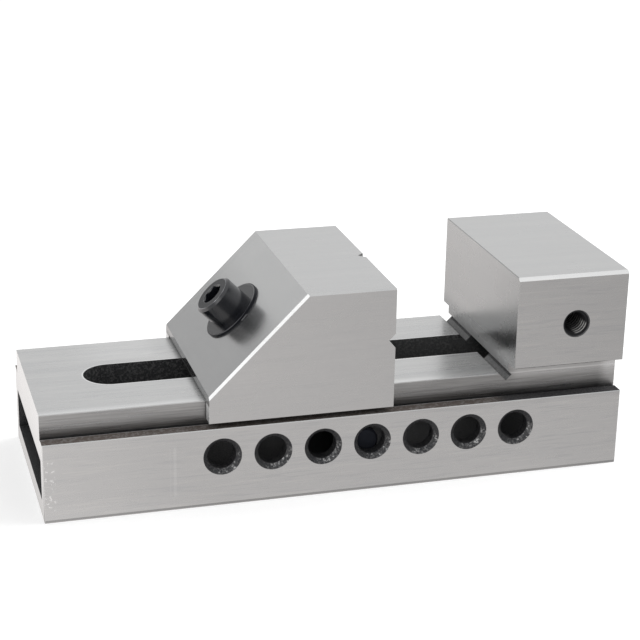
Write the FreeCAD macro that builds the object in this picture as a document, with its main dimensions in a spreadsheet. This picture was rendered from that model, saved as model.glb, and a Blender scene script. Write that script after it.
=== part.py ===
import FreeCAD, Part
import os
import Sketcher

# Toolmakers vise, 63 mm class: a ground steel body with a fixed jaw at its right end, a sliding jaw
# with a sloping back, and a cap screw that pulls the sliding jaw down and along through a nut block
# and a cross pin. Millimetres. X runs along the body towards the fixed jaw, Y across, Z up, with the
# origin at the middle of the base. The sliding jaw stands where it is seen, 37.6 mm open, and the
# screw is slack, so that the pin lies just below the notches that it hooks into.

document = FreeCAD.newDocument("toolmakers_vise")
sheet = document.addObject("Spreadsheet::Sheet", "Sizes")

driving_sizes = [
    # Body: lower block, narrower rail, fixed jaw
    ("body_length", 175.0),
    ("body_width", 63.0),
    ("ledge_height", 24.0),
    ("rail_height", 31.0),
    ("rail_step", 5.0),
    ("undercut_width", 0.8),
    ("undercut_depth", 0.5),
    ("fixed_jaw_length", 35.0),
    ("fixed_jaw_underside", 34.0),
    ("jaw_depth", 31.4),
    ("jaw_edge_break", 1.0),
    ("corner_break", 0.2),
    # Tunnel through the lower block, and the slot through the rail into it
    ("tunnel_floor", 5.5),
    ("tunnel_height", 12.0),
    ("tunnel_wall", 4.5),
    ("slot_width", 16.0),
    ("slot_left_margin", 16.5),
    ("slot_right_margin", 20.5),
    # Saw cut at the foot of the fixed jaw's face
    ("relief_width", 2.5),
    ("relief_depth", 1.3),
    ("relief_shift", 0.85),
    ("relief_reach", 4.0),
    # Row of side holes, which leave the half-round notches in the tunnel's ceiling
    ("hole_bore", 8.5),
    ("hole_mouth", 11.3),
    ("hole_pitch", 15.0),
    ("hole_count", 7),
    ("hole_first", 51.3),
    ("hole_height", 15.3),
    # Tapped hole in the side of the fixed jaw
    ("stop_hole_bore", 8.0),
    ("stop_hole_mouth", 8.5),
    ("stop_hole_from_end", 16.0),
    ("stop_hole_height", 46.9),
    ("stop_hole_depth", 14.0),
    ("drill_point_length", 2.0),
    # Sliding jaw
    ("jaw_length", 55.0),
    ("jaw_from_left", 47.4),
    ("slope_angle", 45.0),
    ("slope_foot", 2.8),
    ("slope_edge_break", 0.7),
    ("top_edge_break", 0.5),
    ("skirt_clearance", 1.8),
    ("slide_clearance", 0.02),
    ("guide_clearance", 0.03),
    ("groove_width", 4.3),
    ("groove_depth", 2.1),
    ("groove_height", 15.4),
    ("jaw_corner_relief", 1.0),
    # Screw, washer and the jaw's bore for them
    ("screw_setback", 13.9),
    ("screw_diameter", 8.0),
    ("screw_point_break", 1.0),
    ("head_diameter", 13.0),
    ("head_height", 7.8),
    ("head_break", 0.8),
    ("socket_key", 6.0),
    ("socket_depth", 4.0),
    ("socket_break", 0.5),
    ("washer_diameter", 19.8),
    ("washer_thickness", 0.8),
    ("washer_clearance", 0.5),
    ("washer_break", 0.15),
    ("washer_shift", 0.3),
    ("bore_clearance", 0.5),
    ("bore_swing", 6.0),
    # Nut block and cross pin below the slot
    ("nut_side_clearance", 0.2),
    ("nut_thickness", 12.0),
    ("nut_cover", 28.0),
    ("nut_break", 0.5),
    ("nut_room", 1.5),
    ("nut_headroom", 10.0),
    ("thread_clearance", 0.05),
    ("tapped_web", 2.0),
    ("screw_end_clearance", 4.5),
    ("pin_diameter", 8.0),
    ("pin_end_clearance", 1.0),
    ("pin_break", 0.6),
    ("pin_seat_clearance", 0.02),
    ("pin_drop", 0.3),
]
for row, (alias, value) in enumerate(driving_sizes, start=1):
    sheet.set(f"A{row}", alias)
    sheet.set(f"B{row}", str(value))
    sheet.setAlias(f"B{row}", alias)
document.recompute()


# Places that several pieces share, as expressions on the sheet
left_end = "-Sizes.body_length / 2"
right_end = "Sizes.body_length / 2"
half_width = "Sizes.body_width / 2"
rail_half = "(Sizes.body_width / 2 - Sizes.rail_step)"
jaw_top = "(Sizes.rail_height + Sizes.jaw_depth)"
fixed_face = "(Sizes.body_length / 2 - Sizes.fixed_jaw_length)"
tunnel_ceiling = "(Sizes.tunnel_floor + Sizes.tunnel_height)"
jaw_left = "(Sizes.jaw_from_left - Sizes.body_length / 2)"
jaw_face = f"({jaw_left} + Sizes.jaw_length)"
foot_height = "(Sizes.rail_height + Sizes.slope_foot)"
skirt_bottom = "(Sizes.ledge_height + Sizes.skirt_clearance)"
slope_sine = "sin(Sizes.slope_angle * 1 deg)"
slope_cosine = "cos(Sizes.slope_angle * 1 deg)"
slope_rise = "tan(Sizes.slope_angle * 1 deg)"
screw_x = f"({jaw_left} + Sizes.screw_setback)"
screw_z = f"({foot_height} + Sizes.screw_setback * {slope_rise})"
pin_z = f"({tunnel_ceiling} - Sizes.pin_diameter / 2 - Sizes.pin_drop)"
pin_x = f"({screw_x} + ({screw_z} - {pin_z}) * {slope_rise})"

# Along the screw's axis: from the slope to the pin, and the nut block's tapped bore above the pin
pin_depth = f"(({screw_z} - {pin_z}) / {slope_cosine})"
nut_reach = f"({pin_depth} - Sizes.nut_cover)"
bore_end = "(Sizes.pin_diameter / 2 + Sizes.pin_seat_clearance + Sizes.tapped_web)"
screw_length = f"(Sizes.washer_thickness + {pin_depth} - {bore_end} - Sizes.screw_end_clearance)"


# Turns upright into the slope's outward normal; an expression sets the angle where it is used
slope_turn = FreeCAD.Placement(FreeCAD.Vector(), FreeCAD.Rotation(FreeCAD.Vector(0, -1, 0), 1))


def new_body(name):
    body = document.addObject("PartDesign::Body", name)
    body.Label = name
    return body


def new_sketch(body, name, plane, x="0", y="0", out="0", on_slope=False):
    # x, y and out move the sketch in its own plane and along the plane's normal
    sketch = body.newObject("Sketcher::SketchObject", name)
    support = [item for item in body.Origin.OriginFeatures if item.Role == plane][0]
    sketch.AttachmentSupport = [(support, "")]
    sketch.MapMode = "FlatFace"
    if on_slope:
        sketch.AttachmentOffset = slope_turn
        sketch.setExpression("AttachmentOffset.Rotation.Angle", "Sizes.slope_angle")
    sketch.setExpression("AttachmentOffset.Base.x", x)
    sketch.setExpression("AttachmentOffset.Base.y", y)
    sketch.setExpression("AttachmentOffset.Base.z", out)
    return sketch


def place_point(sketch, geometry, point, name, x, y):
    for axis, expression in (("X", x), ("Y", y)):
        rule = Sketcher.Constraint("Distance" + axis, -1, 1, geometry, point, 1.0)
        index = sketch.addConstraint(rule)
        sketch.renameConstraint(index, name + axis)
        sketch.setExpression("Constraints." + name + axis, expression)


def draw_outline(sketch, corners, first=0):
    # closed outline of straight edges, each corner placed by two expressions
    count = len(corners)
    upright, start = FreeCAD.Vector(0, 0, 1), FreeCAD.Vector(20, 0, 0)
    turns = [FreeCAD.Rotation(upright, 360.0 * step / count) for step in range(count)]
    rough = [turn.multVec(start) for turn in turns]
    for step in range(count):
        sketch.addGeometry(Part.LineSegment(rough[step], rough[(step + 1) % count]), False)
    for step in range(count):
        following = first + (step + 1) % count
        sketch.addConstraint(Sketcher.Constraint("Coincident", first + step, 2, following, 1))
    for step, (x, y) in enumerate(corners):
        place_point(sketch, first + step, 1, f"corner{first + step}", x, y)


def draw_circle(sketch, radius, x="0", y="0"):
    circle = Part.Circle(FreeCAD.Vector(1, 1, 0), FreeCAD.Vector(0, 0, 1), 5)
    index = sketch.addGeometry(circle, False)
    place_point(sketch, index, 3, f"centre{index}", x, y)
    rule = sketch.addConstraint(Sketcher.Constraint("Radius", index, 5.0))
    sketch.renameConstraint(rule, f"radius{index}")
    sketch.setExpression(f"Constraints.radius{index}", radius)


def draw_long_hole(sketch, low, high, radius, along):
    # straight-sided hole with round ends, whose centres lie at low and high on the sketch's x axis;
    # along is roughly half the distance between them, to start from
    up = FreeCAD.Vector(0, 0, 1)
    left = Part.Circle(FreeCAD.Vector(-along, 0, 0), up, 5)
    right = Part.Circle(FreeCAD.Vector(along, 0, 0), up, 5)
    quarter = 1.5707963
    sketch.addGeometry(Part.ArcOfCircle(left, quarter, 3 * quarter), False)
    lower = Part.LineSegment(FreeCAD.Vector(-along, -5, 0), FreeCAD.Vector(along, -5, 0))
    upper = Part.LineSegment(FreeCAD.Vector(along, 5, 0), FreeCAD.Vector(-along, 5, 0))
    sketch.addGeometry(lower, False)
    sketch.addGeometry(Part.ArcOfCircle(right, -quarter, quarter), False)
    sketch.addGeometry(upper, False)
    joints = ((0, 1, 1, 0), (1, 2, 1, 2), (2, 3, 1, 2), (3, 0, 1, 0))
    for one, other, other_end, arc in joints:
        sketch.addConstraint(Sketcher.Constraint("Coincident", one, 2, other, other_end))
        sketch.addConstraint(Sketcher.Constraint("Vertical", other, other_end, arc, 3))
    sketch.addConstraint(Sketcher.Constraint("Horizontal", 1))
    place_point(sketch, 0, 3, "low", low, "0")
    place_point(sketch, 2, 3, "high", high, "0")
    rule = sketch.addConstraint(Sketcher.Constraint("Radius", 0, 5.0))
    sketch.renameConstraint(rule, "radius")
    sketch.setExpression("Constraints.radius", radius)


def sweep(body, kind, name, sketch, length, backwards=False):
    # kind is Pad or Pocket; a pocket runs against the sketch's normal, a pad along it
    feature = body.newObject("PartDesign::" + kind, name)
    feature.Profile = sketch
    feature.Reversed = backwards
    feature.setExpression("Length", length)
    document.recompute()
    return feature


def turn_profile(body, kind, name, sketch):
    # kind is Revolution or Groove, a full turn about the sketch's upright axis
    feature = body.newObject("PartDesign::" + kind, name)
    feature.Profile = sketch
    feature.ReferenceAxis = (sketch, ["V_Axis"])
    feature.Angle = 360
    document.recompute()
    return feature


def break_edges(body, name, size, wanted):
    # wanted tells from an edge's middle and direction whether it gets this break
    base = body.Tip
    names = []
    for number, edge in enumerate(base.Shape.Edges, start=1):
        if edge.Curve.TypeId != "Part::GeomLine":
            continue
        if wanted(edge.CenterOfMass, edge.tangentAt(edge.FirstParameter), edge.Length):
            names.append(f"Edge{number}")
    feature = body.newObject("PartDesign::Chamfer", name)
    feature.Base = (base, names)
    feature.setExpression("Size", size)
    document.recompute()
    return feature


def value(alias):
    return float(sheet.get(alias))


def near(first, second):
    return abs(first - second) < 0.001


def make_body():
    body = new_body("vise_body")

    # Lower block and rail in one long section, with the tunnel and the undercuts at the rail's foot
    section = new_sketch(body, "block_section", "YZ_Plane", out=left_end)
    outer = f"({rail_half} + Sizes.undercut_width)"
    groove_floor = "(Sizes.ledge_height - Sizes.undercut_depth)"
    right_side = [
        (half_width, "0"),
        (half_width, "Sizes.ledge_height"),
        (outer, "Sizes.ledge_height"),
        (outer, groove_floor),
        (rail_half, groove_floor),
        (rail_half, "Sizes.rail_height"),
    ]
    left_side = [("-" + y, z) for y, z in reversed(right_side)]
    draw_outline(section, right_side + left_side)
    tunnel_half = "(Sizes.body_width / 2 - Sizes.tunnel_wall)"
    tunnel = [
        ("-" + tunnel_half, "Sizes.tunnel_floor"),
        (tunnel_half, "Sizes.tunnel_floor"),
        (tunnel_half, tunnel_ceiling),
        ("-" + tunnel_half, tunnel_ceiling),
    ]
    draw_outline(section, tunnel, first=len(right_side + left_side))
    sweep(body, "Pad", "block", section, "Sizes.body_length")

    # Fixed jaw: a neck as wide as the rail, then the full width, with its near upper edge broken wide
    section = new_sketch(body, "jaw_section", "YZ_Plane", out=fixed_face)
    draw_outline(section, [
        (rail_half, "Sizes.rail_height"),
        (rail_half, "Sizes.fixed_jaw_underside"),
        (half_width, "Sizes.fixed_jaw_underside"),
        (half_width, jaw_top),
        (f"-({half_width} - Sizes.jaw_edge_break)", jaw_top),
        ("-" + half_width, f"{jaw_top} - Sizes.jaw_edge_break"),
        ("-" + half_width, "Sizes.fixed_jaw_underside"),
        ("-" + rail_half, "Sizes.fixed_jaw_underside"),
        ("-" + rail_half, "Sizes.rail_height"),
    ])
    sweep(body, "Pad", "fixed_jaw", section, "Sizes.fixed_jaw_length")

    # Slot from the rail's top into the tunnel; its right end runs on below the fixed jaw
    slot = new_sketch(body, "slot_outline", "XY_Plane", out="Sizes.rail_height")
    slot_radius = "Sizes.slot_width / 2"
    draw_long_hole(
        slot,
        f"{left_end} + Sizes.slot_left_margin + {slot_radius}",
        f"{right_end} - Sizes.slot_right_margin - {slot_radius}",
        slot_radius,
        along=60,
    )
    sweep(body, "Pocket", "slot", slot, f"Sizes.rail_height - {tunnel_ceiling}")

    # Square-bottomed cut at 45 degrees into the corner between rail and fixed jaw
    corner = {"x": fixed_face, "y": "Sizes.rail_height"}
    cut = new_sketch(body, "relief_outline", "XZ_Plane", out=half_width, **corner)
    corners = []
    for deep, side in ((-1, -1), (1, -1), (1, 1), (-1, 1)):
        depth = "Sizes.relief_depth" if deep > 0 else "-Sizes.relief_reach"
        across = f"({side} * Sizes.relief_width / 2 - Sizes.relief_shift)"
        corners.append((f"({depth} + {across}) / sqrt(2)", f"({across} - ({depth})) / sqrt(2)"))
    draw_outline(cut, corners)
    sweep(body, "Pocket", "relief", cut, "Sizes.body_width")

    # One countersunk hole right through both walls, repeated along the body
    hole_x = f"{left_end} + Sizes.hole_first"
    hole = new_sketch(body, "hole_profile", "XY_Plane", x=hole_x, out="Sizes.hole_height")
    bore, mouth = "Sizes.hole_bore / 2", "Sizes.hole_mouth / 2"
    sink = "(Sizes.hole_mouth - Sizes.hole_bore) / 2"
    draw_outline(hole, [
        ("0", "-" + half_width),
        (mouth, "-" + half_width),
        (bore, f"-{half_width} + {sink}"),
        (bore, f"{half_width} - {sink}"),
        (mouth, half_width),
        ("0", half_width),
    ])
    first_hole = turn_profile(body, "Groove", "side_hole", hole)
    holes = body.newObject("PartDesign::LinearPattern", "side_holes")
    holes.Originals = [first_hole]
    x_axis = [item for item in body.Origin.OriginFeatures if item.Role == "X_Axis"][0]
    holes.Direction = (x_axis, [""])
    holes.setExpression("Length", "Sizes.hole_pitch * (Sizes.hole_count - 1)")
    holes.setExpression("Occurrences", "Sizes.hole_count")
    body.Tip = holes
    document.recompute()

    # Blind tapped hole in the near side of the fixed jaw, at its thread's major diameter
    stop = new_sketch(
        body, "stop_hole_profile", "XY_Plane",
        x=f"{right_end} - Sizes.stop_hole_from_end", y="-" + half_width, out="Sizes.stop_hole_height",
    )
    bore, mouth = "Sizes.stop_hole_bore / 2", "Sizes.stop_hole_mouth / 2"
    draw_outline(stop, [
        ("0", "0"),
        (mouth, "0"),
        (bore, f"{mouth} - {bore}"),
        (bore, "Sizes.stop_hole_depth"),
        ("0", "Sizes.stop_hole_depth + Sizes.drill_point_length"),
    ])
    turn_profile(body, "Groove", "stop_hole", stop)

    # Broken outer edges along the body and round its ends
    width, end = value("body_width") / 2, value("body_length") / 2
    rail, rail_side = value("rail_height"), width - value("rail_step")
    top, face = rail + value("jaw_depth"), end - value("fixed_jaw_length")
    levels = (0, value("ledge_height"), value("fixed_jaw_underside"), top)

    def outer_edge(middle, direction, length):
        along = near(abs(direction.x), 1)
        across = near(abs(direction.y), 1)
        upright = near(abs(direction.z), 1)
        side = near(abs(middle.y), width)
        if along:
            on_rail = near(abs(middle.y), rail_side) and near(middle.z, rail) and length > end
            return on_rail or (side and any(near(middle.z, level) for level in levels))
        if across:
            return near(middle.z, top) or (near(abs(middle.x), end) and near(middle.z, 0))
        return upright and side and (near(abs(middle.x), end) or near(middle.x, face))

    break_edges(body, "outer_breaks", "Sizes.corner_break", outer_edge)
    return body


def make_jaw():
    body = new_body("movable_jaw")

    # Side view, with the skirts' full height, drawn across the whole width
    side = new_sketch(body, "side_view", "XZ_Plane", out="-" + half_width)
    slope_top = f"({jaw_left} + (Sizes.jaw_depth - Sizes.slope_foot) / {slope_rise})"
    draw_outline(side, [
        (jaw_left, skirt_bottom),
        (jaw_face, skirt_bottom),
        (jaw_face, jaw_top),
        (slope_top, jaw_top),
        (jaw_left, foot_height),
    ])
    sweep(body, "Pad", "block", side, "Sizes.body_width")

    # Channel that sits over the rail, with relieved inner corners
    channel = new_sketch(body, "channel_section", "YZ_Plane", out=jaw_face)
    guide = f"({rail_half} + Sizes.guide_clearance)"
    sole = "(Sizes.rail_height + Sizes.slide_clearance)"
    relief = f"({guide} - Sizes.jaw_corner_relief)"
    right_side = [
        (guide, f"{skirt_bottom} - 1"),
        (guide, f"{sole} + Sizes.jaw_corner_relief / 2"),
        (relief, f"{sole} + Sizes.jaw_corner_relief / 2"),
        (relief, sole),
    ]
    left_side = [("-" + y, z) for y, z in reversed(right_side)]
    draw_outline(channel, right_side + left_side)
    sweep(body, "Pocket", "channel", channel, "Sizes.jaw_length")

    # Gripping grooves in the clamping face, one level and one upright
    groove_z = "Sizes.rail_height + Sizes.groove_height"
    level = new_sketch(body, "level_groove", "XZ_Plane", x=jaw_face, y=groove_z, out=half_width)
    draw_outline(level, [
        ("0", "-Sizes.groove_width / 2"),
        ("0", "Sizes.groove_width / 2"),
        ("-Sizes.groove_depth", "0"),
    ])
    sweep(body, "Pocket", "level_vee", level, "Sizes.body_width")
    upright = new_sketch(body, "upright_groove", "XY_Plane", x=jaw_face, out=jaw_top)
    draw_outline(upright, [
        ("0", "-Sizes.groove_width / 2"),
        ("0", "Sizes.groove_width / 2"),
        ("-Sizes.groove_depth", "0"),
    ])
    sweep(body, "Pocket", "upright_vee", upright, f"{jaw_top} - {skirt_bottom}")

    # Long bore for the screw, square to the slope, so that the screw can follow the pin to its notch
    bore = new_sketch(body, "bore_outline", "XY_Plane", x=screw_x, out=screw_z, on_slope=True)
    bore_radius = "Sizes.screw_diameter / 2 + Sizes.bore_clearance"
    draw_long_hole(bore, "-Sizes.bore_swing / 2", "Sizes.bore_swing / 2", bore_radius, along=3)
    sweep(body, "Pocket", "screw_bore", bore, "Sizes.jaw_depth * 2")

    # Room for the nut block, open to the sole, along the same axis
    room = new_sketch(body, "nut_room", "XZ_Plane", x=screw_x, y=screw_z, out="Sizes.slot_width / 2")
    half_room = "(Sizes.nut_thickness / 2 + Sizes.nut_room)"
    room_top = "(Sizes.nut_cover - Sizes.nut_headroom)"
    corners = []
    for along, across in ((room_top, -1), (room_top, 1), (pin_depth, 1), (pin_depth, -1)):
        corners.append((
            f"{along} * {slope_sine} + {across} * {half_room} * {slope_cosine}",
            f"-{along} * {slope_cosine} + {across} * {half_room} * {slope_sine}",
        ))
    draw_outline(room, corners)
    sweep(body, "Pocket", "nut_pocket", room, "Sizes.slot_width")

    # Broken edges: wide on the slope, narrower along the top, small elsewhere
    width, top = value("body_width") / 2, value("rail_height") + value("jaw_depth")
    face = value("jaw_from_left") + value("jaw_length") - value("body_length") / 2

    def slope_edge(middle, direction, length):
        sloping = direction.x * direction.z > 0.01
        return sloping and near(abs(middle.y), width) and length > value("groove_width")

    def top_edge(middle, direction, length):
        return near(abs(middle.y), width) and near(middle.z, top) and near(abs(direction.x), 1)

    def face_edge(middle, direction, length):
        return near(middle.x, face) and near(middle.z, top) and near(abs(direction.y), 1)

    break_edges(body, "slope_breaks", "Sizes.slope_edge_break", slope_edge)
    break_edges(body, "top_breaks", "Sizes.top_edge_break", top_edge)
    break_edges(body, "face_breaks", "Sizes.corner_break", face_edge)
    return body


def make_screw():
    # Socket cap screw along its own Z, under-head face at zero
    body = new_body("cap_screw")
    profile = new_sketch(body, "screw_profile", "XZ_Plane")
    radius, head = "Sizes.screw_diameter / 2", "Sizes.head_diameter / 2"
    draw_outline(profile, [
        ("0", "-" + screw_length),
        (f"{radius} - Sizes.screw_point_break", "-" + screw_length),
        (radius, f"Sizes.screw_point_break - {screw_length}"),
        (radius, "0"),
        (head, "0"),
        (head, "Sizes.head_height - Sizes.head_break"),
        (f"{head} - Sizes.head_break", "Sizes.head_height"),
        ("0", "Sizes.head_height"),
    ])
    turn_profile(body, "Revolution", "screw", profile)
    socket = new_sketch(body, "socket_outline", "XY_Plane", out="Sizes.head_height")
    corner = "Sizes.socket_key / sqrt(3)"
    draw_outline(socket, [
        (f"{corner} * cos({60 * step} deg)", f"{corner} * sin({60 * step} deg)") for step in range(6)
    ])
    sweep(body, "Pocket", "socket", socket, "Sizes.socket_depth")
    entry = new_sketch(body, "socket_entry_profile", "XZ_Plane", y="Sizes.head_height")
    draw_outline(entry, [
        ("0", "-Sizes.socket_break"),
        (f"{corner} - Sizes.socket_break", "-Sizes.socket_break"),
        (corner, "0"),
        ("0", "0"),
    ])
    turn_profile(body, "Groove", "socket_entry", entry)
    lift = "Sizes.washer_thickness"
    set_on_slope(body, f"{screw_x} - {lift} * {slope_sine}", f"{screw_z} + {lift} * {slope_cosine}")
    return body


def make_washer():
    body = new_body("flat_washer")
    profile = new_sketch(body, "washer_profile", "XZ_Plane")
    inner, outer = "(Sizes.screw_diameter / 2 + Sizes.washer_clearance)", "Sizes.washer_diameter / 2"
    draw_outline(profile, [
        (inner, "0"),
        (outer, "0"),
        (outer, "Sizes.washer_thickness - Sizes.washer_break"),
        (f"{outer} - Sizes.washer_break", "Sizes.washer_thickness"),
        (inner, "Sizes.washer_thickness"),
    ])
    turn_profile(body, "Revolution", "washer", profile)
    # It sits a little up the slope from the screw's axis, within its hole's play
    shift = "Sizes.washer_shift"
    set_on_slope(body, f"{screw_x} + {shift} * {slope_cosine}", f"{screw_z} + {shift} * {slope_sine}")
    return body


def make_nut():
    # Nut block along its own Z, with its origin on the pin's axis and a round lower end about it
    body = new_body("draw_nut")
    nut_half = "(Sizes.slot_width / 2 - Sizes.nut_side_clearance)"
    outline = new_sketch(body, "block_outline", "XZ_Plane", out="-" + nut_half)
    half = "Sizes.nut_thickness / 2"
    top = nut_reach
    bevelled_half, bevelled_top = f"{half} - Sizes.nut_break", f"{top} - Sizes.nut_break"
    draw_outline(outline, [
        (half, "0"),
        (half, bevelled_top),
        (bevelled_half, top),
        (f"-({bevelled_half})", top),
        (f"-{half}", bevelled_top),
        (f"-{half}", "0"),
    ])
    block = sweep(body, "Pad", "block", outline, f"{nut_half} * 2")
    round_end = new_sketch(body, "round_end_outline", "XZ_Plane", out="-" + nut_half)
    draw_circle(round_end, half)
    sweep(body, "Pad", "round_end", round_end, f"{nut_half} * 2")
    pin_hole = new_sketch(body, "pin_hole_outline", "XZ_Plane", out=nut_half)
    draw_circle(pin_hole, "Sizes.pin_diameter / 2 + Sizes.pin_seat_clearance")
    sweep(body, "Pocket", "pin_hole", pin_hole, f"{nut_half} * 2")
    thread = new_sketch(body, "thread_profile", "XZ_Plane", y=top)
    bore = "(Sizes.screw_diameter / 2 + Sizes.thread_clearance)"
    depth = f"({bore_end} - {nut_reach})"
    draw_outline(thread, [("0", "0"), (bore, "0"), (bore, depth), ("0", depth)])
    turn_profile(body, "Groove", "tapped_bore", thread)
    set_on_slope(body, pin_x, pin_z)
    return body


def make_pin():
    body = new_body("cross_pin")
    profile = new_sketch(body, "pin_profile", "XY_Plane")
    radius = "Sizes.pin_diameter / 2"
    half = "(Sizes.body_width / 2 - Sizes.tunnel_wall - Sizes.pin_end_clearance)"
    bevelled_radius, bevelled_half = f"{radius} - Sizes.pin_break", f"({half} - Sizes.pin_break)"
    draw_outline(profile, [
        ("0", f"-{half}"),
        (bevelled_radius, f"-{half}"),
        (radius, f"-{bevelled_half}"),
        (radius, bevelled_half),
        (bevelled_radius, half),
        ("0", half),
    ])
    turn_profile(body, "Revolution", "pin", profile)
    body.setExpression("Placement.Base.x", pin_x)
    body.setExpression("Placement.Base.z", pin_z)
    return body


def set_on_slope(body, x, z):
    # turns the piece's own Z to the slope's outward normal
    body.Placement = slope_turn
    body.setExpression("Placement.Rotation.Angle", "Sizes.slope_angle")
    body.setExpression("Placement.Base.x", x)
    body.setExpression("Placement.Base.z", z)


pieces = [make_body(), make_jaw(), make_screw(), make_washer(), make_nut(), make_pin()]
document.recompute()

for item in document.Objects:
    if {"Invalid", "Error"} & set(item.State):
        raise RuntimeError(f"{item.Name} failed: {item.State}")
for piece in pieces:
    if piece.Shape.isNull() or not piece.Shape.isValid() or len(piece.Shape.Solids) != 1:
        raise RuntimeError(f"{piece.Label} is not one valid solid")

os.makedirs("parts", exist_ok=True)
for piece in pieces:
    piece.Shape.exportStep(f"parts/{piece.Label}.step")
    box = piece.Shape.BoundBox
    print(f"{piece.Label}: {piece.Shape.Volume / 1000:.2f} cm3, "
          f"x {box.XMin:.2f} to {box.XMax:.2f}, z {box.ZMin:.2f} to {box.ZMax:.2f}")
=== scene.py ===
import bpy
import math
from mathutils import Matrix, Vector


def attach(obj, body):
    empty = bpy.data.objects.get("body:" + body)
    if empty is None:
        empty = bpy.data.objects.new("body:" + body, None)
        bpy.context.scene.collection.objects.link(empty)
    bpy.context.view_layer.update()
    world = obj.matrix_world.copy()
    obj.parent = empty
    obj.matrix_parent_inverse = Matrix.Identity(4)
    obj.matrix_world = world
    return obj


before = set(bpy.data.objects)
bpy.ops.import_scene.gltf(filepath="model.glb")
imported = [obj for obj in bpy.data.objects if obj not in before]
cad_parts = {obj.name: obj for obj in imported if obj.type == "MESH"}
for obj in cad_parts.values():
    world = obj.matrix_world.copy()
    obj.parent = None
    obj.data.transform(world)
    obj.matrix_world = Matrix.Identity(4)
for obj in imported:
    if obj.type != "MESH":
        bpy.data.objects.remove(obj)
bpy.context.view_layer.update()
bpy.ops.object.select_all(action="DESELECT")
print("frame loaded")


# sockets as values, so that shader sums read like sums
class Field:
    def __init__(self, recipe, socket):
        self.recipe = recipe
        self.socket = socket

    def sum(self, operation, *others):
        return self.recipe.node("ShaderNodeMath", {"operation": operation}, [self, *others])

    def __add__(self, other):
        return self.sum("ADD", other)

    def __sub__(self, other):
        return self.sum("SUBTRACT", other)

    def __mul__(self, other):
        return self.sum("MULTIPLY", other)

    def __truediv__(self, other):
        return self.sum("DIVIDE", other)

    def __rsub__(self, other):
        return self.sum("MULTIPLY_ADD", -1.0, other)

    __radd__ = __add__
    __rmul__ = __mul__

    def __abs__(self):
        return self.sum("ABSOLUTE")

    def atLeast(self, other):
        return self.sum("MAXIMUM", other)

    def atMost(self, other):
        return self.sum("MINIMUM", other)


def distance(first, second):
    return (first * first + second * second).sum("SQRT")


# where the Texture Coordinate node gives each of its vectors
coordinateOutputs = {"generated": 0, "normal": 1, "object": 3}
toMillimetres = 1000.0


# one material, or the world, while it is being put together
class Recipe:
    def __init__(self, tree):
        self.tree = tree
        self.tree.nodes.clear()

    def node(self, kind, settings=None, inputs=None, output=0):
        made = self.tree.nodes.new(kind)
        for name, setting in (settings or {}).items():
            setattr(made, name, setting)
        pairs = inputs.items() if isinstance(inputs, dict) else enumerate(inputs or [])
        for name, given in pairs:
            if isinstance(given, Field):
                self.tree.links.new(given.socket, made.inputs[name])
            elif given is not None:
                made.inputs[name].default_value = given
        return Field(self, made.outputs[output]) if len(made.outputs) else None

    def coordinates(self, name):
        return self.node("ShaderNodeTexCoord", {}, [], coordinateOutputs[name])

    def millimetres(self):
        return self.shaded(self.coordinates("object"), toMillimetres)

    def axes(self, vector):
        parts = self.tree.nodes.new("ShaderNodeSeparateXYZ")
        self.tree.links.new(vector.socket, parts.inputs[0])
        return [Field(self, output) for output in parts.outputs]

    def rays(self, *names):
        # which kind of ray is being traced, 1 or 0 for each name
        paths = self.tree.nodes.new("ShaderNodeLightPath")
        return [Field(self, paths.outputs[name]) for name in names]

    def ramp(self, value, low, high, fromLow=0.0, toHigh=1.0):
        # smooth step from fromLow to toHigh as value goes from low to high
        settings = {"interpolation_type": "SMOOTHSTEP"}
        return self.node("ShaderNodeMapRange", settings, [value, low, high, fromLow, toHigh])

    def fall(self, value, low, high):
        # 1 up to low and 0 past high
        return self.ramp(value, low, high, 1.0, 0.0)

    def within(self, value, low, high, soft):
        # 1 between low and high, 0 outside, with soft edges
        return self.ramp(value, low - soft, low) * self.fall(value, high, high + soft)

    def mixColor(self, factor, first, second):
        settings = {"data_type": "RGBA"}
        return self.node("ShaderNodeMix", settings, {0: factor, 6: first, 7: second}, 2)

    def mixVector(self, factor, first, second):
        return self.node("ShaderNodeMix", {"data_type": "VECTOR"}, {0: factor, 4: first, 5: second}, 1)

    def mixShader(self, factor, first, second):
        return self.node("ShaderNodeMixShader", {}, [factor, first, second])

    def emission(self, color, strength):
        return self.node("ShaderNodeEmission", {}, {"Color": color, "Strength": strength})

    def shaded(self, color, factor):
        # the colour or vector times a number
        return self.node("ShaderNodeVectorMath", {"operation": "SCALE"}, {0: color, "Scale": factor})

    def stretched(self, vector, x, y, z):
        return self.node("ShaderNodeVectorMath", {"operation": "MULTIPLY"}, [vector, (x, y, z)])

    def noise(self, vector, scale, detail, roughness):
        inputs = {"Vector": vector, "Scale": scale, "Detail": detail, "Roughness": roughness}
        return self.node("ShaderNodeTexNoise", {}, inputs)


def newMaterial(name):
    material = bpy.data.materials.new(name)
    material.use_nodes = True
    return material, Recipe(material.node_tree)


def finishMaterial(recipe, others, color, roughness, bump, metallic):
    # others holds the shader's other sockets, and bump is a height and its depth
    height, depth = bump
    ridges = {"Height": height, "Distance": depth, "Strength": 1.0}
    inputs = dict(others)
    inputs["Base Color"] = color
    inputs["Roughness"] = roughness
    inputs["Metallic"] = metallic
    inputs["Normal"] = recipe.node("ShaderNodeBump", {}, ridges)
    shader = recipe.node("ShaderNodeBsdfPrincipled", {}, inputs)
    recipe.node("ShaderNodeOutputMaterial", {}, {"Surface": shader})


# the stop hole in the near side of the fixed jaw, in metres
stopHole = {"x": 0.0715, "z": 0.0469, "face": -0.0315, "wall": 0.00402}


def aroundStopHole(x, z):
    # right of the hole's axis, above it and from it, in millimetres
    along = x - stopHole["x"] * toMillimetres
    up = z - stopHole["z"] * toMillimetres
    return along, up, distance(along, up)


# ground steel: noises are scale, detail and roughness; the dark colours are painted shade for hollows,
# holes and places under other parts

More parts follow.
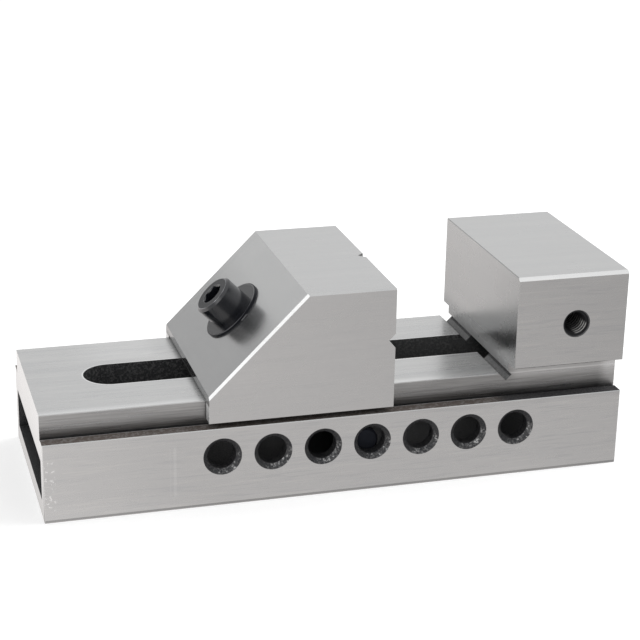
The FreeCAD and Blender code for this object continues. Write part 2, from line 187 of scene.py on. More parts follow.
groundSteel = {
    "pale": (0.645, 0.645, 0.64, 1.0),
    "dull": (0.55, 0.555, 0.56, 1.0),
    "stain": (0.098, 0.079, 0.069, 1.0),
    "paintedShadeLight": (0.085, 0.083, 0.082, 1.0),
    "paintedShadeDark": (0.013, 0.015, 0.020, 1.0),
    "paintedShadeGrain": (0.38, 0.66),
    "grain": (2.2, 4.0, 0.75),
    "mottle": (0.5, 2.0, 0.5),
    "smudge": (0.06, 3.0, 0.6),
    "plainShade": 0.17,
    "mottleShade": 0.25,
    "smudgeShade": 0.4,
    "bandShade": 0.4,
    "scratchShade": 0.5,
    "plainRoughness": 0.21,
    "scratchRoughness": 0.05,
    "smudgeRoughness": 0.12,
    "paintedShadeRoughness": 0.25,
    "stainRoughness": 0.45,
    "topRoughness": 0.02,
    "slopeSmoothness": 0.08,
    "slopeFewerLines": 0.85,
    "paintedShadeOnMetal": 0.6,
}
grinding = {
    "along": 0.075,
    "across": 1.6,
    "fine": (1.0, 1.5, 0.55),
    "light": (0.56, 0.72),
    "dark": (0.30, 0.44),
    "bandStretch": (0.2, 0.14, 0.14),
    "bands": (1.0, 2.0, 0.5),
    "depth": 0.000003,
}
# how much of a normal has to lie on an axis before a face counts as such a face, and for a slope
# how much on two axes together
faces = {
    "end": (0.6, 0.65),
    "slopeFrom": (0.68, 0.70),
    "slopeTo": (0.715, 0.74),
    "top": (0.95, 0.99),
    "side": (0.9, 0.95),
    "slope": (1.3, 1.38),
}


def grindLines(recipe, place, facing):
    # scratches a few millimetres long run along x, and across on the faces that look along x;
    # scratch is 0 where there is none, 1 in a light one and -1 in a dark one
    along, across = grinding["along"], grinding["across"]
    alongX = recipe.stretched(place, along, across, across)
    acrossX = recipe.stretched(place, across, along, across)
    onEnd = recipe.ramp(abs(facing[0]), *faces["end"])
    vector = recipe.mixVector(onEnd, alongX, acrossX)
    fine = recipe.noise(vector, *grinding["fine"])
    scratch = recipe.ramp(fine, *grinding["light"]) - recipe.fall(fine, *grinding["dark"])
    bands = recipe.noise(recipe.stretched(vector, *grinding["bandStretch"]), *grinding["bands"])
    return fine, scratch, bands - 0.5


def makeGroundSteel(name, zones):
    # zones gives how much painted shade darkens a place, its tone with painted highlights and shade in it,
    # how strong its grinding lines are, how stained it is and how matte
    steel = groundSteel
    material, recipe = newMaterial(name)
    place = recipe.millimetres()
    facing = recipe.axes(recipe.coordinates("normal"))
    fine, scratch, bands = grindLines(recipe, place, facing)
    smudge = recipe.noise(place, *steel["smudge"])
    mottle = recipe.noise(place, *steel["mottle"])
    grain = recipe.noise(place, *steel["grain"])
    endOn = abs(facing[0])
    sloping = recipe.ramp(endOn, *faces["slopeFrom"]) * recipe.fall(endOn, *faces["slopeTo"])
    upward = recipe.ramp(facing[2], *faces["top"])
    dark, tone, lines, stained, matte = zones(recipe, place, facing, grain)
    strength = lines * (1 - sloping * steel["slopeFewerLines"])
    shade = scratch * strength * steel["scratchShade"] + bands * (upward * lines + steel["bandShade"])
    shade = shade + smudge * steel["smudgeShade"] + mottle * steel["mottleShade"] + steel["plainShade"]
    color = recipe.mixColor(shade, steel["dull"], steel["pale"])
    color = recipe.mixColor(stained, recipe.shaded(color, tone), steel["stain"])
    # painted shade: dark colours mixed in where the zones give dark
    paintedShadeMix = recipe.ramp(grain, *steel["paintedShadeGrain"])
    paintedShadeColor = recipe.mixColor(paintedShadeMix, steel["paintedShadeDark"], steel["paintedShadeLight"])
    color = recipe.mixColor(dark, color, paintedShadeColor)
    roughness = steel["plainRoughness"] - sloping * steel["slopeSmoothness"]
    roughness = roughness + upward * steel["topRoughness"] + smudge * steel["smudgeRoughness"]
    roughness = roughness + scratch * strength * steel["scratchRoughness"]
    roughness = roughness + dark * steel["paintedShadeRoughness"] + stained * steel["stainRoughness"]
    bare = 1 - (dark * steel["paintedShadeOnMetal"]).atLeast(stained).atLeast(matte)
    finishMaterial(recipe, {}, color, roughness, (fine * strength, grinding["depth"]), bare)
    return material


# the body's painted shade and light, stains and marks in millimetres: a span is low, high and how soft its
# ends are, and a step is where it starts, where it ends and, if it isn't 0 to 1, what it goes from and to

cavities = {
    "tunnelHeight": (5.45, 17.55, 0.05),
    "tunnelSide": (27.05, 27.12),
    "tunnelShade": 0.955,
    "slotHeight": (17.4, 30.85, 0.1),
    "slotSide": (8.1, 8.3),
    "slotLength": (-71.2, 67.2, 0.1),
    "slotShade": 0.94,
    "slotPatches": (0.45, 0.65, 0.0, 0.20),
    "slotToRight": (-10.0, 20.0, 0.0, 0.16),
}


def cavityShade(recipe, x, z, side, mottle):
    # painted shade inside the tunnel and the slot, lighter in mottled patches and towards the slot's right
    # end
    tunnel = recipe.within(z, *cavities["tunnelHeight"]) * recipe.fall(side, *cavities["tunnelSide"])
    slot = recipe.within(z, *cavities["slotHeight"]) * recipe.fall(side, *cavities["slotSide"])
    slot = slot * recipe.within(x, *cavities["slotLength"])
    slotShade = cavities["slotShade"] - recipe.ramp(mottle, *cavities["slotPatches"])
    slotShade = slotShade - recipe.ramp(x, *cavities["slotToRight"])
    return (tunnel * cavities["tunnelShade"]).atLeast(slot * slotShade)


sideHoles = {
    "x": -36.2,
    "z": 15.3,
    "pitch": 15.0,
    "row": (-43.0, 60.5, 0.2),
    "bore": (4.30, 4.42),
    "countersink": (5.62, 5.70),
    "darkness": 0.97,
    "rightShare": 0.7,
    "lowerRightHighlight": (1.8, 4.2),
    "chatter": (0.46, 0.60, 0.0, 0.16),
    "glints": (0.60, 0.66, 0.0, 0.5),
}
tappedHole = {"radius": (4.26, 4.34), "depth": (-14.0, -13.0), "darkness": 0.9}


def holeShade(recipe, x, y, z, mottle):
    half = sideHoles["pitch"] / 2
    across = recipe.node("ShaderNodeMath", {"operation": "WRAP"}, [x - sideHoles["x"], half, -half])
    up = z - sideHoles["z"]
    radius = distance(across, up)
    inRow = recipe.within(x, *sideHoles["row"])
    # painted shade in the bores
    bore = recipe.fall(radius, *sideHoles["bore"]) * inRow
    # countersinks: darkened and chattered, with painted glints at the lower right
    ring = recipe.fall(radius, *sideHoles["countersink"]) * inRow
    lowerRightHighlight = recipe.ramp(across * sideHoles["rightShare"] - up, *sideHoles["lowerRightHighlight"])
    chatter = recipe.ramp(mottle, *sideHoles["chatter"]) + recipe.ramp(mottle, *sideHoles["glints"])
    sink = ring * (sideHoles["darkness"] - chatter * lowerRightHighlight)
    # painted shade in the tapped hole in the near side too
    tapped = recipe.fall(aroundStopHole(x, z)[2], *tappedHole["radius"]) * tappedHole["darkness"]
    tapped = tapped * recipe.fall(y, *tappedHole["depth"])
    return bore.atLeast(sink).atLeast(tapped)


undercuts = {
    "reliefLength": (49.3, 54.5, 0.05),
    "reliefHeight": (28.0, 30.95, 0.03),
    "reliefSide": (26.3, 26.45),
    "reliefShade": 0.96,
    "reliefFloor": (29.75, 29.85, 0.2, 0.0),
    "reliefGrain": (0.54, 0.62, 0.0, 0.15),
    "footHeight": (22.9, 23.90, 0.06),
    "footSide": (26.4, 27.35, 0.03),
    "footEnds": (87.25, 87.35),
    "footShade": 0.95,
}


def undercutShade(recipe, x, z, side, grain):
    # painted shade in the saw cut under the fixed jaw's face, less on its lower part and in grainy
    # patches, and in the groove at the foot of the rail's walls
    relief = recipe.within(x, *undercuts["reliefLength"]) * recipe.within(z, *undercuts["reliefHeight"])
    reliefShade = undercuts["reliefShade"] - recipe.ramp(z, *undercuts["reliefFloor"])
    reliefShade = reliefShade - recipe.ramp(grain, *undercuts["reliefGrain"])
    relief = relief * recipe.fall(side, *undercuts["reliefSide"]) * reliefShade
    foot = recipe.within(z, *undercuts["footHeight"]) * recipe.within(side, *undercuts["footSide"])
    foot = foot * recipe.fall(abs(x), *undercuts["footEnds"])
    return relief.atLeast(foot * undercuts["footShade"])


# the rail's walls are stained and streaked, with painted shade darkening them towards their foot; they are
# darker to the right and lighter at the neck under the fixed jaw
railWall = {
    "side": (26.3, 26.7, 0.05),
    "height": (23.4, 33.9, 0.05),
    "upward": (24.0, 30.5, 0.40, 0.72),
    "toRight": (-60.0, 40.0, 0.0, 0.10),
    "neck": (52.0, 56.0),
    "neckUpward": (28.0, 31.0, 0.05, 0.38),
    "neckEnd": (81.5, 85.5, 0.0, 0.4),
    "streakStretch": (0.05, 0.6, 2.2),
    "streaks": (1.0, 3.0, 0.6),
    "streakTone": 0.65,
}


def wallTone(recipe, place, x, z):
    tone = recipe.ramp(z, *railWall["upward"]) - recipe.ramp(x, *railWall["toRight"])
    neck = recipe.ramp(x, *railWall["neck"]) * recipe.ramp(z, *railWall["neckUpward"])
    neck = neck + recipe.ramp(x, *railWall["neckEnd"])
    streak = recipe.noise(recipe.stretched(place, *railWall["streakStretch"]), *railWall["streaks"]) - 0.5
    return tone + neck + streak * railWall["streakTone"]


# painted highlights and light: the rail's near edge, the slot's mouth, the rail's top at the far left, the
# jaw's top edge and the low side towards the right
highlightPlaces = {
    "railHeight": (30.75, 31.05, 0.02),
    "railSide": (26.7, 26.8),
    "slotFrom": -63.0,
    "slotTo": 59.0,
    "slotHalfWidth": 8.0,
    "slotRim": (0.15, 0.65),
    "nearRim": (-26.5, -22.5, 0.7, 0.0),
    "rimTone": 0.4,
    "farSide": (9.0, 14.0),
    "farLength": (-75.0, -60.0),
    "farTone": (-50.0, -44.0, 0.1, 0.0),
    "topEdge": (61.0, 61.2),
    "topEdgeTone": 0.5,
    "lowSide": (22.0, 23.8),
    "lowSideTone": (-20.0, 70.0, 0.0, 0.09),
}


def highlightTone(recipe, x, y, z, side, facing):
    places = highlightPlaces
    onRail = recipe.within(z, *places["railHeight"]) * recipe.fall(side, *places["railSide"])
    overEnd = x - x.atLeast(places["slotFrom"]).atMost(places["slotTo"])
    fromSlot = distance(overEnd, y) - places["slotHalfWidth"]
    rim = recipe.fall(fromSlot, *places["slotRim"]) + recipe.ramp(y, *places["nearRim"])
    farLeft = recipe.ramp(y, *places["farSide"]) * recipe.ramp(x, *places["farLength"])
    tone = onRail * (rim * places["rimTone"] + farLeft * recipe.ramp(x, *places["farTone"]))
    topEdge = recipe.ramp(facing[2] - facing[1], *faces["slope"]) * recipe.ramp(z, *places["topEdge"])
    lowSide = recipe.fall(z, *places["lowSide"]) * recipe.ramp(x, *places["lowSideTone"])
    return tone + topEdge * places["topEdgeTone"] + lowSide


# painted shade: a line of contact shadow just above the base and the upright corner under the fixed jaw's
# face; the left end is darker too, most at its low corner
shadedPlaces = {
    "baseLine": (0.32, 0.85, 0.12),
    "baseTone": 0.4,
    "corner": (-1.40, -1.36),
    "cornerHeight": (31.0, 31.5, 0.0, 0.3),
    "leftEnd": (-87.48, -87.42, 0.07, 0.0),
    "lowCorner": (-87.45, -87.40),
    "lowCornerSide": (-30.9, -30.4),
    "lowCornerHeight": (1.0, 17.0, 0.5, 0.0),
}


def shadedTone(recipe, x, y, z, facing):
    places = shadedPlaces
    base = recipe.within(z, *places["baseLine"]) * recipe.ramp(abs(facing[1]), *faces["side"])
    corner = recipe.fall(facing[0] + facing[1], *places["corner"])
    corner = corner * recipe.ramp(z, *places["cornerHeight"])
    lowCorner = recipe.fall(x, *places["lowCorner"]) * recipe.fall(y, *places["lowCornerSide"])
    lowCorner = lowCorner * recipe.ramp(z, *places["lowCornerHeight"])
    return base * places["baseTone"] + corner + lowCorner + recipe.ramp(x, *places["leftEnd"])


# faint upright scratches and a patch of small pits near the left end of the near side
nearSideMarks = {
    "side": (-31.45, -31.40),
    "scratch": (-50.4, -49.8, 0.25),
    "fainterScratch": (-51.6, -51.4, 0.2),
    "fainter": 0.4,
    "scratchHeight": (5.0, 19.0, 1.5),
    "scratchTone": 0.07,
    "patch": (-86.8, -84.6, 0.8),
    "patchHeight": (5.0, 19.0, 2.0),
    "pits": (0.56, 0.64, 0.0, 0.36),
}


def nearSideTone(recipe, x, y, z, mottle):
    marks = nearSideMarks
    scratches = recipe.within(x, *marks["scratch"])
    scratches = scratches + recipe.within(x, *marks["fainterScratch"]) * marks["fainter"]
    scratches = scratches * recipe.within(z, *marks["scratchHeight"]) * marks["scratchTone"]
    patch = recipe.within(x, *marks["patch"]) * recipe.within(z, *marks["patchHeight"])
    pitted = recipe.ramp(mottle, *marks["pits"]) * patch
    return (scratches + pitted) * recipe.fall(y, *marks["side"])


# the ledges are stained, painted shade makes them nearly black at the right under the fixed jaw, and a
# thin painted highlight runs along their inner edge
ledges = {
    "height": (23.92, 24.02, 0.02),
    "side": (27.2, 31.25, 0.05),
    "stain": 0.98,
    "stainPatches": (0.45, 0.65, 0.0, 0.2),
    "shadowUnderJaw": (46.0, 52.0, 0.0, 0.93),
    "edgeHighlight": (27.66, 27.76),
    "edgeHighlightTone": 0.2,
    "edgeHighlightClean": 0.3,
}
bodyFinish = {
    "mottle": (1.1, 2.0, 0.6),
    "wallStain": 0.10,
    "leastTone": 0.05,
    "jawFace": (-0.95, -0.9),
    "jawFaceHeight": (31.1, 31.3),
    "jawFaceMatte": (33.5, 39.5, 0.85, 0.0),
    "jawFaceFewerLines": 0.95,
    "jawTop": (61.5, 62.0, 0.0, 0.8),
}


def bodyZones(recipe, place, facing, grain):
    x, y, z = recipe.axes(place)
    side = abs(y)
    mottle = recipe.noise(place, *bodyFinish["mottle"])
    onLedge = recipe.within(z, *ledges["height"]) * recipe.within(side, *ledges["side"])
    edgeHighlight = onLedge * recipe.fall(side, *ledges["edgeHighlight"])
    wall = recipe.within(side, *railWall["side"]) * recipe.within(z, *railWall["height"])
    # painted shade in the cavities, the holes and the undercuts
    dark = cavityShade(recipe, x, z, side, mottle).atLeast(holeShade(recipe, x, y, z, mottle))
    dark = dark.atLeast(undercutShade(recipe, x, z, side, grain))
    # painted shadow on the ledges' right end under the fixed jaw
    dark = dark.atLeast(onLedge * recipe.ramp(x, *ledges["shadowUnderJaw"]))
    # painted highlights and shade go into the tone, with a painted highlight along each ledge's inner edge
    tone = 1 - wall * (1 - wallTone(recipe, place, x, z)) + edgeHighlight * ledges["edgeHighlightTone"]
    tone = tone + highlightTone(recipe, x, y, z, side, facing) + nearSideTone(recipe, x, y, z, mottle)
    tone = (tone - shadedTone(recipe, x, y, z, facing)).atLeast(bodyFinish["leastTone"])
    jawFace = recipe.fall(facing[0], *bodyFinish["jawFace"])
    jawFace = jawFace * recipe.ramp(z, *bodyFinish["jawFaceHeight"])
    lines = 1 + wall - recipe.ramp(z, *bodyFinish["jawTop"]) - jawFace * bodyFinish["jawFaceFewerLines"]
    stained = onLedge * (ledges["stain"] - recipe.ramp(mottle, *ledges["stainPatches"]))
    stained = stained - edgeHighlight * ledges["edgeHighlightClean"] + wall * bodyFinish["wallStain"]
    return dark, tone, lines, stained, jawFace * recipe.ramp(z, *bodyFinish["jawFaceMatte"])


# the sliding jaw: ground smoother than the body, with painted shade in its hollow and in the upright vee's
# mouth; the land at the slope's foot has painted shade over the rail and painted light on the skirt's end,
# a painted shadow line marks the seam at the skirt's end, and the slope is painted lighter towards its top
jawFinish = {
    "hollowSide": (26.6, 26.8),
    "hollowHeight": (31.6, 31.7, 0.5, 0.0),
    "land": (-40.08, -40.04),
    "landFrom": (30.9, 31.0),
    "landTone": (31.3, 32.8, 0.56, 0.30),
    "skirtTone": 0.5,
    "skirtMatte": 0.6,
    "seam": (27.4, 27.8, 0.9, 0.0),
    "veeLength": (13.2, 14.4, 0.2),
    "veeHeight": (61.2, 61.5),
    "veeSide": (0.5, 0.9, 0.85, 0.0),
    "slopeTone": (44.0, 58.0, 0.08, 0.44),
    "slopeMatte": 0.06,
    "top": (0.9, 0.95, 0.0, 0.75),
    "sides": (0.9, 0.95, 0.0, 0.65),
}


def jawZones(recipe, place, facing, grain):
    x, y, z = recipe.axes(place)
    side = abs(y)
    hollow = recipe.fall(side, *jawFinish["hollowSide"]) * recipe.ramp(z, *jawFinish["hollowHeight"])
    foot = recipe.fall(x, *jawFinish["land"])
    land = foot * recipe.ramp(z, *jawFinish["landTone"]) * recipe.ramp(z, *jawFinish["landFrom"])
    skirtEnd = foot * recipe.fall(z, *jawFinish["landFrom"])
    vee = recipe.within(x, *jawFinish["veeLength"]) * recipe.ramp(z, *jawFinish["veeHeight"])
    vee = vee * recipe.ramp(side, *jawFinish["veeSide"])
    sloping = recipe.ramp(facing[2] - facing[0], *faces["slope"])
    # painted shade on the land over the rail, painted light on the skirt's end and up the slope
    tone = 1 - land + skirtEnd * jawFinish["skirtTone"] + sloping * recipe.ramp(z, *jawFinish["slopeTone"])
    # painted shade in the hollow, the vee's mouth and the seam at the skirt's end
    dark = hollow.atLeast(vee).atLeast(skirtEnd * recipe.ramp(side, *jawFinish["seam"]))
    smooth = recipe.ramp(facing[2], *jawFinish["top"]) + recipe.ramp(abs(facing[1]), *jawFinish["sides"])
    matte = skirtEnd * jawFinish["skirtMatte"] + sloping * jawFinish["slopeMatte"]
    return dark, tone, 1 - smooth, 0.0, matte


# black oxide: a cloudy bluish black

oxides = {
    "screwOxide": {"roughness": 0.20, "ior": 1.62, "grain": 0.000004, "tone": 1.0},
    "washerOxide": {"roughness": 0.45, "ior": 1.20, "grain": 0.000002, "tone": 1.0},
    # painted light: the nut's and the pin's tone makes them lighter where they sit in the dark tunnel
    "dullOxide": {"roughness": 0.55, "ior": 1.4, "grain": 0.000008, "tone": 6.0},
    "pinOxide": {"roughness": 0.60, "ior": 1.2, "grain": 0.000008, "tone": 2.6},
}
oxideLook = {
    "deep": (0.006, 0.007, 0.010),
    "hazy": (0.013, 0.014, 0.018),
    "cloud": (0.5, 3.0, 0.6),
    "speck": (6.0, 2.0, 0.6),
    "cloudRoughness": 0.12,
    "speckRoughness": 0.08,
    "evenRoughness": 0.10,
}
screwAxis = {"x": -26.2, "z": 47.7}
# where the screw's head is rubbed to bare steel, partly real wear and partly a painted highlight along its
# edges: radii on its top, which is this far out along the axis
headWearAndHighlights = {
    "bare": (0.45, 0.45, 0.47, 1.0),
    "top": (8.50, 8.56),
    "chamferEdge": (5.55, 5.80, 0.06),
    "socketEdge": (3.44, 3.60, 0.05),
    "socketShare": 0.6,
    "patches": (0.35, 2.0, 0.5),
    "patchy": (0.40, 0.62, 0.15, 0.65),
}
# the washer: only its flat is glossy; a painted highlight round its edge and a painted glint at its near
# side
washerHighlights = {
    "bare": (0.30, 0.30, 0.31, 1.0),
    "flat": (1.32, 1.38),
    "coatIor": 1.75,
    "coatRoughness": 0.12,
    "edgeHighlight": (9.62, 9.80, 0.05),
    "edgeHighlightHeight": (0.55, 0.62, 0.0, 0.35),
    "glintSide": (-9.5, -9.2),
    "glintLength": (1.0, 3.0, 0.4),
    "glintHeight": (0.14, 0.20, 0.8, 0.0),
}


def alongScrew(recipe, place):
    # out along the screw, up the slope from its axis, across it, and the distance from the axis
    x, y, z = recipe.axes(place)
    out = (z - x - (screwAxis["z"] - screwAxis["x"])) * math.sqrt(0.5)
    upSlope = (z + x - (screwAxis["z"] + screwAxis["x"])) * math.sqrt(0.5)
    return out, upSlope, y, distance(upSlope, y)


# each kind of wear and painted highlight gives where it is, its bare colour and the sockets that it adds
def markHeadWearAndHighlights(recipe, place):
    out, upSlope, across, radius = alongScrew(recipe, place)
    edges = recipe.within(radius, *headWearAndHighlights["chamferEdge"])
    edges = edges.atLeast(recipe.within(radius, *headWearAndHighlights["socketEdge"]) * headWearAndHighlights["socketShare"])
    patchy = recipe.ramp(recipe.noise(place, *headWearAndHighlights["patches"]), *headWearAndHighlights["patchy"])
    bareAndHighlit = edges * recipe.ramp(out, *headWearAndHighlights["top"]) * patchy
    return bareAndHighlit, headWearAndHighlights["bare"], {}


def markWasherHighlights(recipe, place):
    out, upSlope, across, radius = alongScrew(recipe, place)
    facing = recipe.axes(recipe.coordinates("normal"))
    coat = {"Coat IOR": washerHighlights["coatIor"], "Coat Roughness": washerHighlights["coatRoughness"]}
    coat["Coat Weight"] = recipe.ramp(facing[2] - facing[0], *washerHighlights["flat"])
    # painted highlight round the edge and a painted glint at the near side
    edgeHighlight = recipe.within(radius, *washerHighlights["edgeHighlight"]) * recipe.ramp(out, *washerHighlights["edgeHighlightHeight"])
    glint = recipe.fall(across, *washerHighlights["glintSide"])
    glint = glint * recipe.within(upSlope, *washerHighlights["glintLength"])
    bareAndHighlit = edgeHighlight.atLeast(glint * recipe.ramp(out, *washerHighlights["glintHeight"]))
    return bareAndHighlit, washerHighlights["bare"], coat


def makeBlackOxide(name, wearAndHighlights=None):
    oxide = oxides[name]
    material, recipe = newMaterial(name)
    place = recipe.millimetres()
    cloud = recipe.noise(place, *oxideLook["cloud"])
    speck = recipe.noise(place, *oxideLook["speck"])
    deep = [part * oxide["tone"] for part in oxideLook["deep"]]
    hazy = [part * oxide["tone"] for part in oxideLook["hazy"]]
    color = recipe.mixColor(cloud, (*deep, 1.0), (*hazy, 1.0))
    roughness = cloud * oxideLook["cloudRoughness"] + speck * oxideLook["speckRoughness"]
    roughness = roughness + (oxide["roughness"] - oxideLook["evenRoughness"])
    others = {"IOR": oxide["ior"]}
    bareAndHighlit = 0.0
    if wearAndHighlights:
        bareAndHighlit, bare, coat = wearAndHighlights(recipe, place)
        color = recipe.mixColor(bareAndHighlit, color, bare)
        others.update(coat)
    finishMaterial(recipe, others, color, roughness, (speck, oxide["grain"]), bareAndHighlit)
    return material


finishes = {
    "vise_body": makeGroundSteel("groundSteelBody", bodyZones),
    "movable_jaw": makeGroundSteel("groundSteelJaw", jawZones),
    "cap_screw": makeBlackOxide("screwOxide", markHeadWearAndHighlights),
    "flat_washer": makeBlackOxide("washerOxide", markWasherHighlights),
    "draw_nut": makeBlackOxide("dullOxide"),
    "cross_pin": makeBlackOxide("pinOxide"),
}
for nodeName, material in finishes.items():
    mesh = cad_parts[nodeName].data
    mesh.materials.clear()
    mesh.materials.append(material)
print("materials ready")


# thread in the stop hole: M8 ridges on the wall, started by the hole's countersink

stopThread = {
    "crest": 0.00335,
    "pitch": 0.00125,
    "halfRoot": 0.46,
    "halfCrest": 0.11,
    "turns": 10,
    "steps": 48,
    "mouth": 0.00425,
    "outside": 0.002,
    "coneSides": 96,
    "mergeWithin": 0.000002,
    "smoothUnder": 35,
}
threadSteel = {
    "bare": (0.62, 0.61, 0.60, 1.0),
    "threadShadeLight": (0.030, 0.030, 0.032, 1.0),
    "threadShadeDark": (0.010, 0.010, 0.012, 1.0),
    "grain": (1.6, 4.0, 0.7),
    "crest": (0.35, 0.6),
    "lowerRightHighlight": (3.3, 4.3, 0.02, 0.9),
    "nearMouth": (-28.5, -25.5, 1.0, 0.2),
    "roughness": 0.45,
    "grainRoughness": 0.10,
    "grainDepth": 0.000002,
    "ior": 1.2,
}


def makeThreadSteel():
    # cut steel with painted shade in the grooves, and painted highlights on its crests at the lower right
    # of the mouth, fainter deeper in
    material, recipe = newMaterial("threadSteel")
    place = recipe.millimetres()
    grain = recipe.noise(place, *threadSteel["grain"])
    x, y, z = recipe.axes(place)
    along, up, radius = aroundStopHole(x, z)
    # painted highlight on the crests at the lower right of the mouth
    crest = recipe.ramp(stopHole["wall"] * toMillimetres - radius, *threadSteel["crest"])
    crest = crest * recipe.ramp(along - up, *threadSteel["lowerRightHighlight"])
    crest = crest * recipe.ramp(y, *threadSteel["nearMouth"])
    # painted shade in the grooves
    threadShade = recipe.mixColor(grain, threadSteel["threadShadeDark"], threadSteel["threadShadeLight"])
    color = recipe.mixColor(crest, threadShade, threadSteel["bare"])
    roughness = grain * threadSteel["grainRoughness"] + threadSteel["roughness"]
    others = {"IOR": threadSteel["ior"]}
    finishMaterial(recipe, others, color, roughness, (grain, threadSteel["grainDepth"]), crest)
    return material


def makeStopThread(thread):
    # the ridge's section is a plane set upright at the wall, wound up by a Screw modifier
    wall, crest, pitch = stopHole["wall"], thread["crest"], thread["pitch"]
    root, flat = thread["halfRoot"], thread["halfCrest"]
    bpy.ops.object.select_all(action="DESELECT")
    bpy.ops.mesh.primitive_plane_add(size=1.0, location=(0, 0, 0))
    ridge = bpy.context.object
    ridge.name = "stopHoleThread"
    section = {0: (wall, -root), 1: (crest, -flat), 3: (crest, flat), 2: (wall, root)}
    for index, (out, along) in section.items():
        ridge.data.vertices[index].co = (out, 0.0, along * pitch)
    winding = ridge.modifiers.new("winding", "SCREW")
    winding.axis = "Z"
    winding.angle = 2 * math.pi
    winding.screw_offset = pitch
    winding.iterations = thread["turns"]
    winding.steps = thread["steps"]
    winding.render_steps = thread["steps"]
    bpy.ops.object.modifier_apply(modifier="winding")
    bpy.ops.object.mode_set(mode="EDIT")
    bpy.ops.mesh.select_all(action="SELECT")
    bpy.ops.mesh.remove_doubles(threshold=thread["mergeWithin"])
    bpy.ops.mesh.fill_holes(sides=4)
    bpy.ops.mesh.select_all(action="SELECT")
    bpy.ops.mesh.normals_make_consistent(inside=False)
    bpy.ops.object.mode_set(mode="OBJECT")
    ridge.rotation_euler = (-math.pi / 2, 0, 0)
    ridge.location = (stopHole["x"], stopHole["face"], stopHole["z"])
    bpy.ops.object.transform_apply(location=True, rotation=True, scale=True)
    # the countersink takes the ridge's start away at 45 degrees
    height = thread["mouth"] + thread["outside"]
    middle = stopHole["face"] - thread["outside"] + height / 2
    bpy.ops.mesh.primitive_cone_add(
        vertices=thread["coneSides"], radius1=height, radius2=0.0, depth=height,
        location=(stopHole["x"], middle, stopHole["z"]), rotation=(-math.pi / 2, 0, 0),
    )
    cutter = bpy.context.object
    bpy.ops.object.select_all(action="DESELECT")
    ridge.select_set(True)
    bpy.context.view_layer.objects.active = ridge
    cut = ridge.modifiers.new("countersink", "BOOLEAN")
    cut.operation = "DIFFERENCE"
    cut.solver = "EXACT"
    cut.object = cutter
    bpy.ops.object.modifier_apply(modifier="countersink")
    bpy.data.objects.remove(cutter, do_unlink=True)
    bpy.ops.object.shade_smooth_by_angle(angle=math.radians(thread["smoothUnder"]))
    ridge.data.materials.clear()
    ridge.data.materials.append(makeThreadSteel())
    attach(ridge, "vise_body")


makeStopThread(stopThread)
print("stop hole threaded")


# stage: a pale floor, white further off; bare steel mirrors it by its own tone, which falls to the
# right and to the front and is lighter beside the vise's left end

stage = {
    "floorSize": 6.0,
    "floorTone": (0.86, 0.86, 0.86, 1.0),
    "floorLift": 0.42,
    "white": (1.0, 1.0, 1.0, 1.0),
    "farOff": (0.5, 1.2),
    "mirrorTone": (1.0, 0.970, 0.958, 1.0),
    "mirrored": 0.72,
    "leastMirrored": 0.1,
    "rightReach": 0.4,
    "fallToRight": -1.15,
    "frontFrom": 0.05,
    "frontReach": -0.6,
    "fallToFront": -0.4,
    "towardLeft": (-0.100, -0.030, 0.09, 0.0),
    "leftEnd": (-0.100, -0.088, 0.38, 0.0),
    "leftEndSide": (-0.05, -0.02),
}


def makeFloor():
    reach = stage["rightReach"]
    material, recipe = newMaterial("paleFloor")
    camera, glossy = recipe.rays("Is Camera Ray", "Is Glossy Ray")
    x, y, z = recipe.axes(recipe.coordinates("object"))
    tone = x.atLeast(-reach).atMost(reach) * stage["fallToRight"] + stage["mirrored"]
    front = (y + stage["frontFrom"]).atMost(0.0).atLeast(stage["frontReach"])
    tone = tone + front * stage["fallToFront"] + recipe.ramp(x, *stage["towardLeft"])
    tone = tone + recipe.ramp(x, *stage["leftEnd"]) * recipe.ramp(y, *stage["leftEndSide"])
    diffuse = recipe.node("ShaderNodeBsdfDiffuse", {}, {"Color": stage["floorTone"]})
    lift = recipe.emission(stage["white"], stage["floorLift"])
    near = recipe.node("ShaderNodeAddShader", {}, [diffuse, lift])
    farOff = recipe.ramp(distance(x, y), *stage["farOff"])
    seen = recipe.mixShader(farOff, near, recipe.emission(stage["white"], 1.0))
    mirrored = recipe.emission(stage["mirrorTone"], tone.atLeast(stage["leastMirrored"]))
    mixed = recipe.mixShader(glossy, recipe.mixShader(camera, diffuse, seen), mirrored)
    recipe.node("ShaderNodeOutputMaterial", {}, {"Surface": mixed})
    bpy.ops.mesh.primitive_plane_add(size=stage["floorSize"], location=(0, 0, 0))
    floor = bpy.context.object
    floor.name = "floor"
    floor.data.materials.append(material)


makeFloor()

# the studio: white to the camera, darker in front, brighter overhead, with a soft box high on the left
studio = {
    "white": (1.0, 1.0, 1.0, 1.0),
    "behind": (-0.15, 0.35),
    "behindTone": (-0.45, 0.15, 0.48, 0.85),
    "leastBehind": 0.1,
    "frontTone": (-0.9, -0.3, 0.85, 0.22),
    "overhead": (0.55, 0.95),
    "overheadTone": 1.0,
    "softBox": (-0.67, -0.44, 0.60),
    "softBoxTone": (0.955, 0.992, 0.0, 1.3),
    "diffuseTone": 0.55,
}


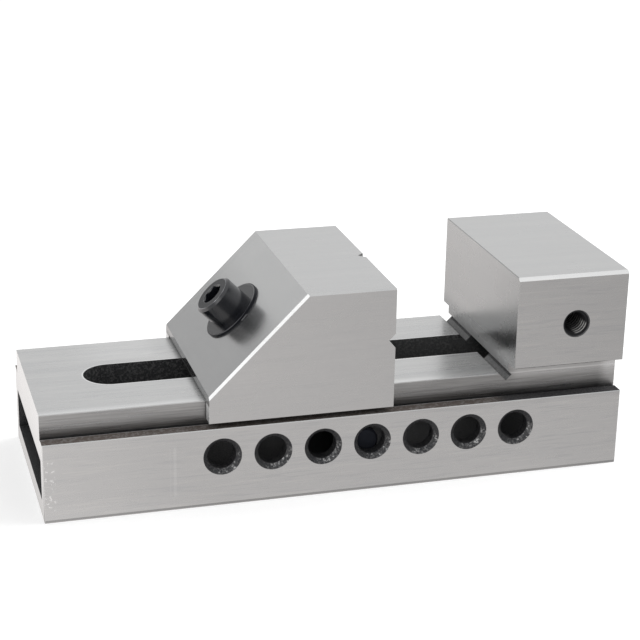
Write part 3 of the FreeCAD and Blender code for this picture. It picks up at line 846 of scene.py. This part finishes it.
def makeStudio():
    world = bpy.data.worlds.new("studio")
    bpy.context.scene.world = world
    world.use_nodes = True
    recipe = Recipe(world.node_tree)
    camera, glossy, clear = recipe.rays("Is Camera Ray", "Is Glossy Ray", "Is Transmission Ray")
    heading = recipe.coordinates("generated")
    x, y, z = recipe.axes(heading)
    behind = recipe.ramp(y, *studio["behind"])
    behindTone = recipe.ramp(x / y.atLeast(studio["leastBehind"]), *studio["behindTone"])
    tone = behind * behindTone + (1 - behind) * recipe.ramp(x, *studio["frontTone"])
    overhead = recipe.ramp(z, *studio["overhead"])
    tone = overhead * studio["overheadTone"] + (1 - overhead) * tone
    inputs = [heading, studio["softBox"]]
    towards = recipe.node("ShaderNodeVectorMath", {"operation": "DOT_PRODUCT"}, inputs, 1)
    tone = tone + recipe.ramp(towards, *studio["softBoxTone"])
    white = camera.atLeast(clear)
    strength = white + (1 - white) * (glossy * tone + (1 - glossy) * studio["diffuseTone"])
    background = recipe.node("ShaderNodeBackground", {}, {"Color": studio["white"], "Strength": strength})
    recipe.node("ShaderNodeOutputWorld", {}, {"Surface": background})


makeStudio()

# the lamps only cast the floor's soft shadow and light what isn't bare metal
lamps = {
    "windowLamp": {"place": (1.0, 0.1, 0.9), "size": 1.2, "power": 11.0},
    "keyLamp": {"place": (-0.5, -0.6, 1.1), "size": 1.0, "power": 2.5},
}
lampTarget = Vector((0, 0, 0.03))
for name, lamp in lamps.items():
    light = bpy.data.lights.new(name, "AREA")
    light.size = lamp["size"]
    light.energy = lamp["power"]
    holder = bpy.data.objects.new(name, light)
    bpy.context.scene.collection.objects.link(holder)
    holder.location = lamp["place"]
    holder.rotation_euler = (lampTarget - holder.location).to_track_quat("-Z", "Y").to_euler()
    holder.visible_glossy = False
print("stage ready")


# camera

view = {
    "place": (-0.13825, -0.48148, 0.225414),
    "right": (0.95850, -0.28428, 0.02171),
    "forward": (0.27429, 0.89869, -0.34224),
    "lens": 98.976,
    "sensorWidth": 36.0,
    "shiftX": -0.0371,
    "clipStart": 0.01,
}
lens = bpy.data.cameras.new("photoCamera")
lens.lens = view["lens"]
lens.sensor_width = view["sensorWidth"]
lens.shift_x = view["shiftX"]
lens.clip_start = view["clipStart"]
photoCamera = bpy.data.objects.new("photoCamera", lens)
bpy.context.scene.collection.objects.link(photoCamera)
back = -Vector(view["forward"]).normalized()
up = back.cross(Vector(view["right"]).normalized()).normalized()
right = up.cross(back).normalized()
turn = Matrix((right, up, back)).transposed()
photoCamera.rotation_euler = turn.to_euler()
photoCamera.location = view["place"]
bpy.context.scene.camera = photoCamera
bpy.context.scene.view_settings.view_transform = "Standard"
print("camera ready")
